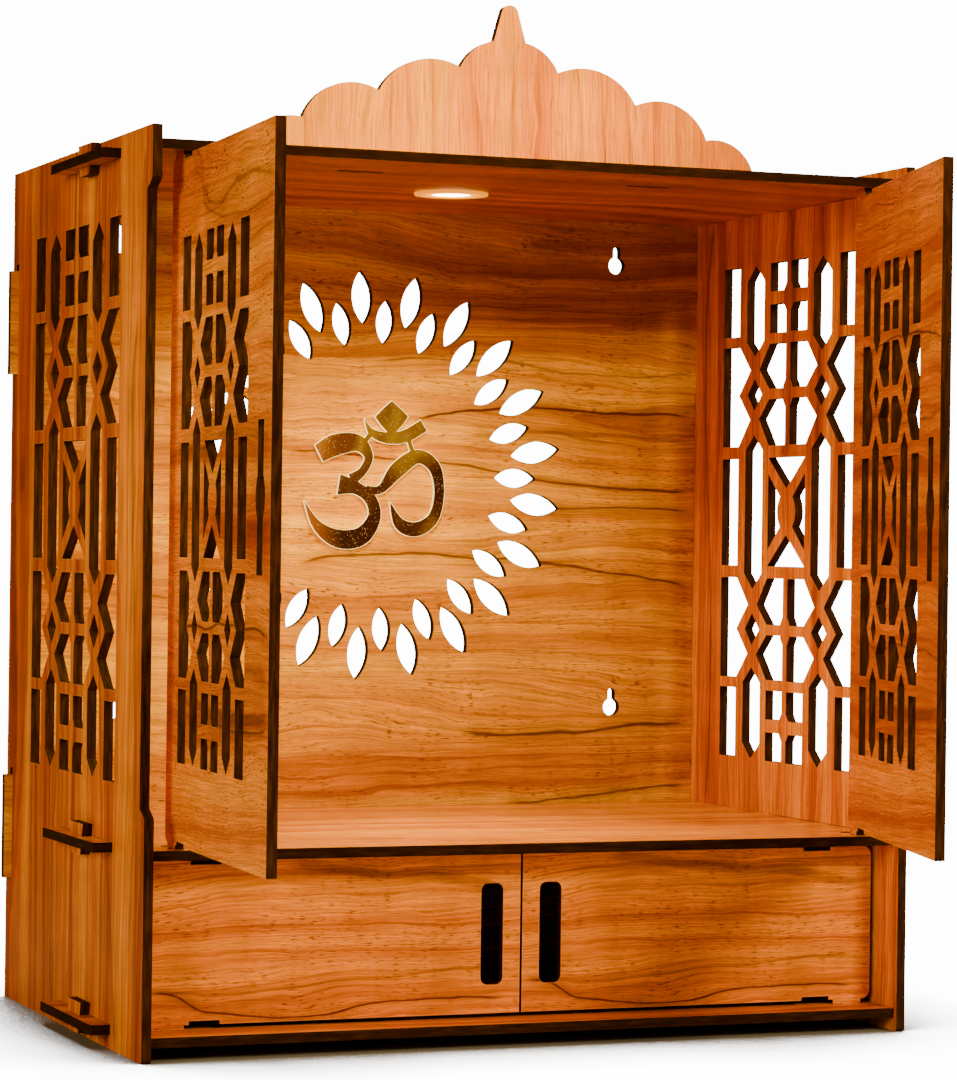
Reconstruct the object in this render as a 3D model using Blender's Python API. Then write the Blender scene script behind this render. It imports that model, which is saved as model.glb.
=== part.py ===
# Household altar cabinet: thin veneered boards, cut flat and slotted together.
# Metres, +Z up, front towards -Y. The origin is on the floor under the middle of the
# whole object, as it stands with its upper doors open.

import math
from types import SimpleNamespace

import bmesh
import bpy
from mathutils import Matrix, Vector
from mathutils.geometry import delaunay_2d_cdt

mm = 0.001

# Boards and fits
board = 5.5 * mm
fit_gap = 0.3 * mm
round_steps = 16
small_steps = 12

# Cabinet body
width = 458 * mm
depth = 297 * mm
side_rise = 7.1 * mm
board_setback = 3 * mm
bottom_board_rise = 7.8 * mm
store_height = 94.2 * mm
altar_height = 374.4 * mm

# Stepped front edge of the side panels, behind which the upper doors turn
step_depth = 9 * mm
step_above_shelf = 16.5 * mm
step_below_roof = 15.5 * mm
step_slope = 6.5 * mm
foot_corner = 2 * mm

# Through tabs of the three boards and their wedges
tab_reach = 10.9 * mm
tab_length = 108 * mm
tab_centre = 115 * mm
wedge_top_width = 28 * mm
wedge_bottom_width = 18 * mm
wedge_drop = 5 * mm
wedge_rise = 7 * mm

# Back panel, its ears and keyholes
back_inset = 8.2 * mm
ear_reach = 5 * mm
ear_height = 62.5 * mm
ear_play = 4.4 * mm
lower_ear_rise = 59.9 * mm
upper_ear_drop = 109.6 * mm
keyhole_from_side = 63 * mm
keyhole_above_shelf = 61.4 * mm
keyhole_below_roof = 27.8 * mm
keyhole_radius = 5.6 * mm
keyhole_neck = 4.8 * mm
keyhole_rise = 12.2 * mm

# Two rings of leaf cut-outs around the emblem
ring_above_middle = 20.8 * mm
leaf_count = 21
outer_leaf_radius = 112 * mm
outer_leaf_length = 34 * mm
outer_leaf_width = 13.6 * mm
inner_leaf_radius = 97 * mm
inner_leaf_length = 28.5 * mm
inner_leaf_width = 12 * mm
leaf_steps = 4

# Emblem
emblem_thickness = 2 * mm
emblem_height = 94 * mm

# Crown board
crown_setback = 62 * mm
crown_height = 93.5 * mm
crown_tab_inner = 75 * mm
crown_tab_outer = 102 * mm

# Upper doors
door_pivot_inset = 17.5 * mm
door_pivot_setback = 17 * mm
door_edge_gap = 2.7 * mm
door_meeting_gap = 3 * mm
door_side_gap = 2.8 * mm
door_corner = 5 * mm
left_door_open = math.radians(93.8)
right_door_open = math.radians(74.3)
grip_from_edge = 20.5 * mm
grip_width = 11.8 * mm
grip_length = 76.5 * mm
grip_bulge_width = 19.2 * mm
grip_bulge_length = 27 * mm

# Pivot pins and shoulders that all four doors turn on
pin_hole_radius = 4.4 * mm
pin_width = 5.4 * mm
shoulder_width = 18 * mm
relief_start = 11.9 * mm
relief_end = 29.4 * mm
relief_depth = 2.1 * mm

# Lower doors
lower_pivot_setback = 31 * mm
lower_meeting_gap = 1.4 * mm
slot_from_edge = 17 * mm
slot_width = 13.3 * mm
slot_length = 57 * mm
slot_corner = 4 * mm

# Lattices: edges of the columns, measured outwards from the middle stalk
side_columns = dict(stalk=3.1 * mm, cell=25.2 * mm, slot_in=33.7 * mm, slot_out=58 * mm,
                    edge_in=68.3 * mm, edge_out=91 * mm, crossing=6.3 * mm)
door_columns = dict(stalk=3.1 * mm, cell=18.8 * mm, slot_in=27.5 * mm, slot_out=45.2 * mm,
                    edge_in=54 * mm, edge_out=72.3 * mm, crossing=5.4 * mm)
# Rows of the lattice, as shares of its half height: narrow cells at both ends, crossings, then long slots
lattice_rows = dict(slot_shoulder=0.935, upper_cell=0.885, upper_boss=0.859, lower_cell=0.833,
                    end_row=0.717, slot_foot=0.691, crossing_top=0.675, slot_foot_tip=0.629,
                    notch_high=0.575, bar_high=0.495, diamond=0.475, bar_low=0.453,
                    notch_low=0.375, long_tip=0.312, crossing_bottom=0.267, long_shoulder=0.249,
                    long_top=0.218, sliver_top=0.153, hourglass_apex=0.092, centre_boss=0.081,
                    diamond_half=0.065, small_boss=0.06, sliver_inner=0.03)
centre_boss_half_width = 12.6 * mm
small_boss_half_width = 7.2 * mm
lattice_from_back = 147 * mm
side_lattice_above_shelf = 32.7 * mm
side_lattice_below_roof = 31.1 * mm
door_lattice_from_ends = 44.2 * mm
door_lattice_from_edge = 120.5 * mm

# Light under the top board
light_setback = 152 * mm
bezel_radius = 22 * mm
bezel_height = 1.4 * mm
lens_radius = 11.5 * mm
lens_height = 1.0 * mm

# Heights and faces that follow from the sizes above
inner_half = width / 2 - board
bottom_top = bottom_board_rise + board
shelf_under = bottom_top + store_height
shelf_top = shelf_under + board
roof_under = shelf_top + altar_height
roof_top = roof_under + board
side_height = roof_top + side_rise
step_start = shelf_top + step_above_shelf
step_end = roof_under - step_below_roof
ear_bottoms = (bottom_top + lower_ear_rise, roof_under - upper_ear_drop)
keyhole_x = width / 2 - keyhole_from_side
keyhole_heights = (shelf_top + keyhole_above_shelf, roof_under - keyhole_below_roof)
ring_height = shelf_top + altar_height / 2 + ring_above_middle
side_lattice_bottom = shelf_top + side_lattice_above_shelf
side_lattice_top = roof_under - side_lattice_below_roof
door_height = altar_height - 2 * door_edge_gap
door_lattice_half_height = door_height / 2 - door_lattice_from_ends
back_face = depth - back_inset - board
pivot_x = inner_half - door_pivot_inset
hinge_reach = door_pivot_inset - door_side_gap
door_reach = pivot_x - door_meeting_gap / 2
lower_reach = pivot_x - lower_meeting_gap / 2
front_reach = max(door_reach * math.sin(opened) + board / 2 * abs(math.cos(opened))
                  for opened in (left_door_open, right_door_open)) - door_pivot_setback
front_y = (front_reach - depth) / 2

# Ways that a flat sheet is turned: its own X, Y and thickness Z as world directions
lying = Matrix.Identity(3)
facing_front = Matrix(((1, 0, 0), (0, 0, -1), (0, 1, 0)))
facing_side = Matrix(((0, 0, 1), (1, 0, 0), (0, 1, 0)))


def remove_old_objects():
    for old in list(bpy.data.objects):
        bpy.data.objects.remove(old, do_unlink=True)


def make_material(name, color, roughness, metallic=0.0):
    material = bpy.data.materials.new(name)
    material.use_nodes = True
    shader = material.node_tree.nodes["Principled BSDF"]
    shader.inputs["Base Color"].default_value = (*color, 1.0)
    shader.inputs["Roughness"].default_value = roughness
    shader.inputs["Metallic"].default_value = metallic
    return material


# Flat outlines

def rectangle(left, bottom, right, top):
    return [(left, bottom), (right, bottom), (right, top), (left, top)]


def arc(centre, radius, start, end, steps):
    turns = [start + (end - start) * step / steps for step in range(steps + 1)]
    return [(centre[0] + radius * math.cos(turn), centre[1] + radius * math.sin(turn)) for turn in turns]


def ellipse(centre, half_width, half_height, steps=round_steps):
    turns = [2 * math.pi * step / steps for step in range(steps)]
    return [(centre[0] + half_width * math.cos(turn),
             centre[1] + half_height * math.sin(turn)) for turn in turns]


def rounded_rectangle(centre, size_x, size_y, radius, steps=4):
    points = []
    for quarter, (sign_x, sign_y) in enumerate(((1, 1), (-1, 1), (-1, -1), (1, -1))):
        corner = (centre[0] + sign_x * (size_x / 2 - radius), centre[1] + sign_y * (size_y / 2 - radius))
        start = quarter * math.pi / 2
        points += arc(corner, radius, start, start + math.pi / 2, steps)
    return points


def bulged_chord(start, end, rise, steps):
    # Arc over the chord from start to end, bowed to the left of its direction, without its last point
    chord = Vector(end) - Vector(start)
    radius = chord.length ** 2 / (8 * rise) + rise / 2
    outward = Vector((-chord.y, chord.x)).normalized()
    centre = (Vector(start) + Vector(end)) / 2 - outward * (radius - rise)
    half = math.asin(min(1.0, chord.length / 2 / radius))
    middle = math.atan2(outward.y, outward.x)
    return arc(centre, radius, middle + half, middle - half, steps)[:-1]


def leaf(radius, angle, length, leaf_width):
    # Pointed oval of two equal arcs, its long axis on the ring's spoke
    tip_in = (radius - length / 2, 0.0)
    tip_out = (radius + length / 2, 0.0)
    sides = bulged_chord(tip_in, tip_out, leaf_width / 2, leaf_steps)
    sides += bulged_chord(tip_out, tip_in, leaf_width / 2, leaf_steps)
    turn = Matrix.Rotation(angle, 2)
    return [tuple(turn @ Vector(point)) for point in sides]


def shifted(points, offset_x, offset_y):
    return [(x + offset_x, y + offset_y) for x, y in points]


def mirrored(points):
    return [(-x, y) for x, y in points]


def spline(nodes, steps):
    # Catmull-Rom curve through the nodes, each a tuple of any number of values
    padded = [nodes[0]] + list(nodes) + [nodes[-1]]
    result = []
    for index in range(1, len(padded) - 2):
        before, first, second, after = (Vector(node) for node in padded[index - 1:index + 3])
        for step in range(steps):
            t = step / steps
            result.append(0.5 * (2 * first + (second - before) * t
                                 + (2 * before - 5 * first + 4 * second - after) * t ** 2
                                 + (3 * first - before - 3 * second + after) * t ** 3))
    result.append(Vector(nodes[-1]))
    return result


def ribbon(nodes, steps=3):
    # Pen stroke: nodes are (x, y, stroke width), joined by a smooth curve
    path = spline(nodes, steps)
    left, right = [], []
    for index, point in enumerate(path):
        ahead = path[min(index + 1, len(path) - 1)] - path[max(index - 1, 0)]
        normal = Vector((-ahead.y, ahead.x)).normalized() * point.z / 2
        left.append((point.x + normal.x, point.y + normal.y))
        right.append((point.x - normal.x, point.y - normal.y))
    return left + right[::-1]


def contains(outline, point):
    inside = False
    for index, (x1, y1) in enumerate(outline):
        x0, y0 = outline[index - 1]
        if (y0 > point[1]) != (y1 > point[1]):
            if point[0] < x0 + (point[1] - y0) * (x1 - x0) / (y1 - y0):
                inside = not inside
    return inside


def cut_sheet(name, material, outlines, cutouts=(), islands=(), thickness=board, raised=0.0):
    # Sheet that fills the outlines, less the cut-outs, plus the islands left inside them.
    # All loops are triangulated together, and the triangles that belong are extruded.
    loops = [*outlines, *cutouts, *islands]
    points, edges = [], []
    for loop in loops:
        first = len(points)
        points += [Vector(point) for point in loop]
        edges += [(first + index, first + (index + 1) % len(loop)) for index in range(len(loop))]
    flat, _, triangles, *_ = delaunay_2d_cdt(points, edges, [], 0, 1e-7)

    mesh = bmesh.new()
    low, high = {}, {}
    for triangle in triangles:
        middle = sum((flat[index] for index in triangle), Vector((0, 0))) / 3
        filled = any(contains(loop, middle) for loop in outlines)
        filled = filled and not any(contains(loop, middle) for loop in cutouts)
        if not (filled or any(contains(loop, middle) for loop in islands)):
            continue
        for index in triangle:
            if index not in low:
                low[index] = mesh.verts.new((*flat[index], raised))
                high[index] = mesh.verts.new((*flat[index], raised + thickness))
        mesh.faces.new([high[index] for index in triangle])
        mesh.faces.new([low[index] for index in reversed(triangle)])
    partner = {low[index]: high[index] for index in low}
    for edge in [edge for edge in mesh.edges if edge.is_boundary]:
        start, end = edge.verts
        if start in partner:
            mesh.faces.new((start, end, partner[end], partner[start]))
    bmesh.ops.recalc_face_normals(mesh, faces=mesh.faces)

    data = bpy.data.meshes.new(name)
    mesh.to_mesh(data)
    mesh.free()
    data.materials.append(material)
    sheet = bpy.data.objects.new(name, data)
    bpy.context.scene.collection.objects.link(sheet)
    return sheet


def place(sheet, turn, x, y, z, swing=0.0):
    # Distances y are from the side panels' front edges
    turned = Matrix.Rotation(swing, 3, "Z") @ turn
    sheet.matrix_world = Matrix.Translation((x, front_y + y, z)) @ turned.to_4x4()


# Lattice shared by the side panels and the upper doors

def lattice(columns, half_height, centre_x, centre_y):
    row = SimpleNamespace(**{name: share * half_height for name, share in lattice_rows.items()})
    stalk, cell, slot_in, slot_out = (columns[key] for key in ("stalk", "cell", "slot_in", "slot_out"))
    edge_in, edge_out, crossing = (columns[key] for key in ("edge_in", "edge_out", "crossing"))
    slot_mid = (slot_in + slot_out) / 2
    narrowing = columns["cell"] / side_columns["cell"]

    quarter = [
        rectangle(edge_in, row.end_row, edge_out, half_height),
        rectangle(stalk, row.upper_cell, cell, half_height),
        rectangle(stalk, row.end_row, cell, row.lower_cell),
        [(slot_mid, row.slot_foot_tip), (slot_out, row.slot_foot), (slot_out, row.slot_shoulder),
         (slot_mid, half_height), (slot_in, row.slot_shoulder), (slot_in, row.slot_foot)],
        [(edge_out, row.crossing_bottom), (edge_out, row.crossing_top), (edge_in, row.crossing_top),
         (slot_mid + crossing, row.notch_high), (edge_in, row.diamond), (slot_mid + crossing, row.notch_low),
         (edge_in, row.crossing_bottom)],
        [(stalk, row.bar_high), (cell, row.bar_high), (slot_mid - crossing, row.notch_high),
         (cell, row.crossing_top), (stalk, row.crossing_top)],
        [(stalk, row.crossing_bottom), (cell, row.crossing_bottom), (slot_mid - crossing, row.notch_low),
         (cell, row.bar_low), (stalk, row.bar_low)],
        ellipse((slot_mid, row.diamond), row.diamond_half * narrowing, row.diamond_half, 4),
    ]
    half = quarter + [[(x, -y) for x, y in loop] for loop in quarter]
    half += [
        rectangle(edge_in, -row.long_top, edge_out, row.long_top),
        [(slot_mid, -row.long_tip), (slot_out, -row.long_shoulder), (slot_out, row.long_shoulder),
         (slot_mid, row.long_tip), (slot_in, row.long_shoulder), (slot_in, -row.long_shoulder)],
        [(cell, -row.sliver_top), (cell, row.sliver_top),
         (stalk, row.sliver_inner), (stalk, -row.sliver_inner)],
    ]
    cutouts = half + [mirrored(loop) for loop in half]
    cutouts += [
        [(-cell, row.long_top), (cell, row.long_top), (0, row.hourglass_apex)],
        [(-cell, -row.long_top), (cell, -row.long_top), (0, -row.hourglass_apex)],
    ]
    islands = [ellipse((0, 0), centre_boss_half_width * narrowing, row.centre_boss)]
    for height in (row.upper_boss, row.diamond):
        for side in (1, -1):
            islands.append(ellipse((0, side * height), small_boss_half_width * narrowing,
                                   row.small_boss, small_steps))
    return ([shifted(loop, centre_x, centre_y) for loop in cutouts],
            [shifted(loop, centre_x, centre_y) for loop in islands])


# Cabinet body

def tab_slot(under):
    # Slot in a side panel for the tab of a board whose underside is at this height
    front = tab_centre - tab_length / 2 - fit_gap
    back = tab_centre + tab_length / 2 + fit_gap
    return rectangle(front, under - fit_gap, back, under + board + fit_gap)


def ear_slot(bottom):
    front = back_face - fit_gap
    return rectangle(front, bottom - fit_gap, front + board + 2 * fit_gap, bottom + ear_height + ear_play)


def side_outline():
    def slope(start, direction):
        steps = 5
        shares = [step / steps for step in range(steps + 1)]
        rises = [start + step_slope * share for share in shares]
        sweeps = [(1 - math.cos(math.pi * share)) / 2 for share in shares]
        if direction < 0:
            sweeps.reverse()
        return [(step_depth * sweep, rise) for sweep, rise in zip(sweeps, rises)]

    front = slope(step_start, 1) + slope(step_end - step_slope, -1)
    foot = arc((foot_corner, foot_corner), foot_corner, 1.5 * math.pi, math.pi, 3)
    return [(depth, 0.0), (depth, side_height), (0.0, side_height)] + front[::-1] + foot[::-1]


def make_side(name, material, side):
    half_height = (side_lattice_top - side_lattice_bottom) / 2
    openings, islands = lattice(side_columns, half_height, depth - lattice_from_back,
                                side_lattice_bottom + half_height)
    slots = [tab_slot(under) for under in (bottom_board_rise, shelf_under, roof_under)]
    slots += [ear_slot(bottom) for bottom in ear_bottoms]
    sheet = cut_sheet(name, material, [side_outline()], openings + slots, islands)
    place(sheet, facing_side, -width / 2 if side < 0 else inner_half, 0, 0)


def pin_hole(side, setback):
    return ellipse((side * pivot_x, setback), pin_hole_radius, pin_hole_radius)


def make_board(name, material, under, holes):
    half = inner_half - fit_gap
    reach = width / 2 + tab_reach
    front, back = board_setback, back_face - fit_gap
    tab_front, tab_back = tab_centre - tab_length / 2, tab_centre + tab_length / 2
    outline = [(-half, front), (half, front), (half, tab_front), (reach, tab_front), (reach, tab_back),
               (half, tab_back), (half, back), (-half, back), (-half, tab_back), (-reach, tab_back),
               (-reach, tab_front), (-half, tab_front)]
    outer = width / 2
    wedge_half = wedge_width_at(wedge_drop + board) / 2 + fit_gap
    hole = rectangle(outer, tab_centre - wedge_half, outer + board + 2 * fit_gap, tab_centre + wedge_half)
    sheet = cut_sheet(name, material, [outline], [hole, mirrored(hole), *holes])
    place(sheet, lying, 0, 0, under)


def wedge_width_at(height):
    share = height / (wedge_drop + board + wedge_rise)
    return wedge_bottom_width + (wedge_top_width - wedge_bottom_width) * share


def make_wedge(name, material, side, under):
    tall = wedge_drop + board + wedge_rise
    low, high = wedge_bottom_width / 2, wedge_top_width / 2
    sheet = cut_sheet(name, material, [[(-low, 0), (low, 0), (high, tall), (-high, tall)]])
    panel_face = width / 2 + fit_gap
    start_x = panel_face if side > 0 else -panel_face - board
    place(sheet, facing_side, start_x, tab_centre, under - wedge_drop)


def keyhole(x, height):
    neck = keyhole_neck / 2
    join = math.acos(neck / keyhole_radius)
    round_part = arc((x, height), keyhole_radius, join, join - 2 * math.pi + (math.pi - 2 * join), 14)
    neck_end = arc((x, height + keyhole_rise - neck), neck, math.pi, 0, 5)
    return round_part + neck_end


def make_back(name, material):
    half = inner_half - fit_gap
    reach = width / 2 + ear_reach
    right = [(half, bottom_board_rise)]
    for bottom in ear_bottoms:
        right += [(half, bottom), (reach, bottom), (reach, bottom + ear_height), (half, bottom + ear_height)]
    right.append((half, roof_top))
    outline = right + mirrored(right)[::-1]
    cutouts = [keyhole(side * keyhole_x, height) for side in (1, -1) for height in keyhole_heights]
    for index in range(leaf_count):
        angle = 2 * math.pi * index / leaf_count
        half_step = math.pi / leaf_count
        rings = [leaf(inner_leaf_radius, angle, inner_leaf_length, inner_leaf_width),
                 leaf(outer_leaf_radius, angle + half_step, outer_leaf_length, outer_leaf_width)]
        cutouts += [shifted(loop, 0, ring_height) for loop in rings]
    sheet = cut_sheet(name, material, [outline], cutouts)
    place(sheet, facing_front, 0, back_face + board, 0)


def make_crown(name, material):
    # Right half, from the finial's tip down over four lobes, as shares of the crown's height
    tall = crown_height
    cusps = [(0.105, 0.775), (0.323, 0.603), (0.847, 0.432), (1.332, 0.244), (1.668, 0.0)]
    rises = [0.034, 0.112, 0.118, 0.094]
    half = arc((0, tall * 0.944), tall * 0.056, math.pi / 2, math.radians(12), 5)
    for start, end, rise in zip(cusps, cusps[1:], rises):
        half += bulged_chord(Vector(start) * tall, Vector(end) * tall, rise * tall, 8)
    half.append((cusps[-1][0] * tall, 0.0))
    for x, y in ((crown_tab_outer, 0), (crown_tab_outer, -board),
                 (crown_tab_inner, -board), (crown_tab_inner, 0)):
        half.append((x, y))
    outline = half + mirrored(half[1:])[::-1]
    sheet = cut_sheet(name, material, [outline])
    place(sheet, facing_front, 0, crown_setback + board, roof_top + fit_gap)


# Doors, drawn closed with the pivot at their own origin and the free edge towards +X

def door_outline(reach, height, corner):
    half_pin, half_shoulder = pin_width / 2, shoulder_width / 2
    shoulder = door_edge_gap - fit_gap
    pin_end = shoulder + board
    edge = [(reach, 0), (relief_end, 0), (relief_end, -relief_depth), (relief_start, -relief_depth),
            (relief_start, 0), (half_shoulder, 0), (half_shoulder, shoulder), (half_pin, shoulder),
            (half_pin, pin_end), (-half_pin, pin_end), (-half_pin, shoulder), (-half_shoulder, shoulder),
            (-half_shoulder, 0)]
    edge += arc((-hinge_reach + corner, -corner), corner, math.pi / 2, math.pi, 4)
    upper = [(x, height / 2 + y) for x, y in edge]
    lower = [(x, -y) for x, y in upper]
    return upper + lower[::-1]


def make_upper_door(name, material, side, opened):
    centre_x = door_reach - door_lattice_from_edge
    openings, islands = lattice(door_columns, door_lattice_half_height, centre_x, 0)
    grip = (door_reach - grip_from_edge, 0)
    openings.append(rectangle(grip[0] - grip_width / 2, -grip_length / 2,
                              grip[0] + grip_width / 2, grip_length / 2))
    openings.append(ellipse(grip, grip_bulge_width / 2, grip_bulge_length / 2))
    loops = [[door_outline(door_reach, door_height, door_corner)], openings, islands]
    if side > 0:
        loops = [[mirrored(loop) for loop in group] for group in loops]
    sheet = cut_sheet(name, material, *loops, raised=-board / 2)
    place(sheet, facing_front, side * pivot_x, door_pivot_setback,
          shelf_top + altar_height / 2, side * opened)


def make_lower_door(name, material, side):
    height = store_height - 2 * door_edge_gap
    slot = rounded_rectangle((lower_reach - slot_from_edge, 0), slot_width, slot_length, slot_corner)
    loops = [[door_outline(lower_reach, height, door_corner)], [slot]]
    if side > 0:
        loops = [[mirrored(loop) for loop in group] for group in loops]
    sheet = cut_sheet(name, material, *loops, raised=-board / 2)
    place(sheet, facing_front, side * pivot_x, lower_pivot_setback, bottom_top + store_height / 2)


# Emblem: pen strokes in millimetres about the ring's centre, then scaled to its height

emblem_strokes = {
    "upper_bowl": [(-36.5, 12.8, 12), (-25, 18.6, 14), (-11, 20, 11), (-3.4, 12, 6.5),
                   (-7.3, 2.5, 6), (-15, -3, 8)],
    "lower_bowl": [(-23.3, -6, 13.8), (-11.3, -8.2, 8.6), (-1.8, -15, 8.4), (0.8, -26.5, 9.2), (-7.8, -38.2, 12),
                   (-22.8, -40, 12), (-36.8, -32, 7), (-45.8, -16.5, 0.6)],
    "tail": [(-4.8, -9.2, 6), (5.2, -8.4, 6), (15.7, 3.5, 10.5), (29.2, 12.3, 9.3), (40.8, 5.8, 8.6),
             (44.2, -10, 7.3), (40.5, -26, 8), (29.2, -33.4, 9.6), (17.7, -30, 8), (11.1, -16.4, 0.6)],
    "crescent": [(-6.4, 35.3, 0.6), (-2.3, 27.6, 4.6), (5.2, 24.2, 7), (14.2, 23.6, 8), (23.2, 26, 8.5),
                 (33.4, 32.2, 8.5)],
    "left_bridge": [(-5.3, 22, 3.6), (-1.4, 27, 3.6)],
    "right_bridge": [(25.6, 16, 3.4), (23.2, 23, 3.4)],
}
emblem_drawn_height = 93.7
emblem_dot = [(11.6, 47.1), (23, 37.3), (15.5, 28), (8.9, 27), (0.3, 36.6)]
emblem_dot_bow = 1.2


def make_emblem(name, material):
    dot = []
    for start, end in zip(emblem_dot, emblem_dot[1:] + emblem_dot[:1]):
        dot += bulged_chord(start, end, emblem_dot_bow, 3)
    scale = emblem_height / emblem_drawn_height
    loops = [ribbon(nodes) for nodes in emblem_strokes.values()] + [dot]
    loops = [[(x * scale, y * scale) for x, y in loop] for loop in loops]
    sheet = cut_sheet(name, material, loops, thickness=emblem_thickness)
    place(sheet, facing_front, 0, back_face - fit_gap, ring_height)


# Downlight: a ring bezel with a lens inside it, both fixed under the top board

def make_light(bezel_material, lens_material):
    turned = Matrix.Rotation(math.pi, 3, "X")
    outer = ellipse((0, 0), bezel_radius, bezel_radius, 32)
    hole_radius = lens_radius + fit_gap
    hole = ellipse((0, 0), hole_radius, hole_radius, 24)
    bezel = cut_sheet("light_bezel", bezel_material, [outer], [hole], thickness=bezel_height)
    place(bezel, turned, 0, light_setback, roof_under - fit_gap)
    lens = cut_sheet("light_lens", lens_material, [ellipse((0, 0), lens_radius, lens_radius, 24)],
                     thickness=lens_height)
    place(lens, turned, 0, light_setback, roof_under - fit_gap)


def build():
    remove_old_objects()
    upright = make_material("upright veneer", (0.60, 0.22, 0.035), 0.42)
    level = make_material("level veneer", (0.66, 0.27, 0.045), 0.40)
    pale = make_material("pale veneer", (0.78, 0.42, 0.19), 0.45)
    gold = make_material("gold mirror acrylic", (0.50, 0.28, 0.05), 0.12, 1.0)
    bezel = make_material("satin metal bezel", (0.70, 0.50, 0.33), 0.30, 1.0)
    lens = make_material("frosted lens", (0.95, 0.90, 0.80), 0.35)

    boards = {
        "bottom": ("bottom_board", bottom_board_rise, (lower_pivot_setback,)),
        "middle": ("altar_shelf", shelf_under, (lower_pivot_setback, door_pivot_setback)),
        "top": ("top_board", roof_under, (door_pivot_setback,)),
    }
    crown_slot = rectangle(crown_tab_inner - fit_gap, crown_setback - fit_gap,
                           crown_tab_outer + fit_gap, crown_setback + board + fit_gap)
    for level_name, (name, under, setbacks) in boards.items():
        holes = [pin_hole(side, setback) for side in (1, -1) for setback in setbacks]
        if level_name == "top":
            holes += [crown_slot, mirrored(crown_slot)]
        make_board(name, level, under, holes)
        for side_name, side in (("left", -1), ("right", 1)):
            make_wedge(f"wedge_{level_name}_{side_name}", upright, side, under)

    openings = {-1: left_door_open, 1: right_door_open}
    for side_name, side in (("left", -1), ("right", 1)):
        make_side(f"side_panel_{side_name}", upright, side)
        make_upper_door(f"door_{side_name}", level, side, openings[side])
        make_lower_door(f"lower_door_{side_name}", level, side)
    make_back("back_panel", level)
    make_crown("crown", pale)
    make_emblem("om_emblem", gold)
    make_light(bezel, lens)


build()
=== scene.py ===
import math

import bpy
import numpy as np
from mathutils import Matrix, Vector
from mathutils.geometry import delaunay_2d_cdt


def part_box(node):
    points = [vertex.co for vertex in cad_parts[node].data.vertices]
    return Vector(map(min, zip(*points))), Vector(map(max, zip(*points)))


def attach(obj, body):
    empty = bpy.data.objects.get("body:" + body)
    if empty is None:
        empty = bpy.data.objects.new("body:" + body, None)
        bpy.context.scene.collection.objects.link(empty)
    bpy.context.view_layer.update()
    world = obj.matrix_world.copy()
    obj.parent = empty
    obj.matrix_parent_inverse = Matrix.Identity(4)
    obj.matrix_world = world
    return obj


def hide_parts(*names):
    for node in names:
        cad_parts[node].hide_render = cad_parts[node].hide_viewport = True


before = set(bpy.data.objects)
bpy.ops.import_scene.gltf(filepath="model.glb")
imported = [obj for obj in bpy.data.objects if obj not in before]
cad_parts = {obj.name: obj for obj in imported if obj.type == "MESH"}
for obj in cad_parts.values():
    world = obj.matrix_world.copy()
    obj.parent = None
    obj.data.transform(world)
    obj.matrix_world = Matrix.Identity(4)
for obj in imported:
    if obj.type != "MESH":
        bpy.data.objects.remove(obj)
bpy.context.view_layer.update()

mm = 0.001
xAxis, yAxis, zAxis = (1, 0, 0), (0, 1, 0), (0, 0, 1)
smoothly = {"interpolation_type": "SMOOTHSTEP"}
tinting = {"blend_type": "MULTIPLY"}


def linear(hexColour):
    # sRGB hex to linear RGBA
    parts = [int(hexColour[i:i + 2], 16) / 255 for i in (1, 3, 5)]
    return tuple(c / 12.92 if c <= 0.04045 else ((c + 0.055) / 1.055) ** 2.4 for c in parts) + (1.0,)


def addNode(tree, kind, settings, links):
    # Sockets are linked or set to a constant. Gives the only live output, or else the node.
    made = tree.nodes.new("ShaderNode" + kind)
    for key, value in settings.items():
        setattr(made, key, value)
    for key, value in links.items():
        if isinstance(value, bpy.types.NodeSocket):
            tree.links.new(value, made.inputs[key])
        else:
            made.inputs[key].default_value = value
    live = [output for output in made.outputs if output.enabled]
    return live[0] if len(live) == 1 else made


def span(low, high, start, end):
    # Sockets that turn values from low to high into values from start to end
    return {1: low, 2: high, 3: start, 4: end}


def fillStops(ramp, stops):
    # Stops are (position, sRGB hex)
    elements = ramp.color_ramp.elements
    elements.remove(elements[-1])
    elements[0].position, elements[0].color = stops[0][0], linear(stops[0][1])
    for position, hexColour in stops[1:]:
        elements.new(position).color = linear(hexColour)
    return ramp.outputs["Color"]


def bendCurve(curve, points):
    bent = curve.mapping.curves[0]
    bent.points[0].location, bent.points[-1].location = points[0], points[-1]
    for x, y in points[1:-1]:
        bent.points.new(x, y)
    curve.mapping.update()


def newMaterial(name):
    made = bpy.data.materials.new(name)
    made.use_nodes = True
    made.node_tree.nodes.clear()
    return made, made.node_tree


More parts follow.
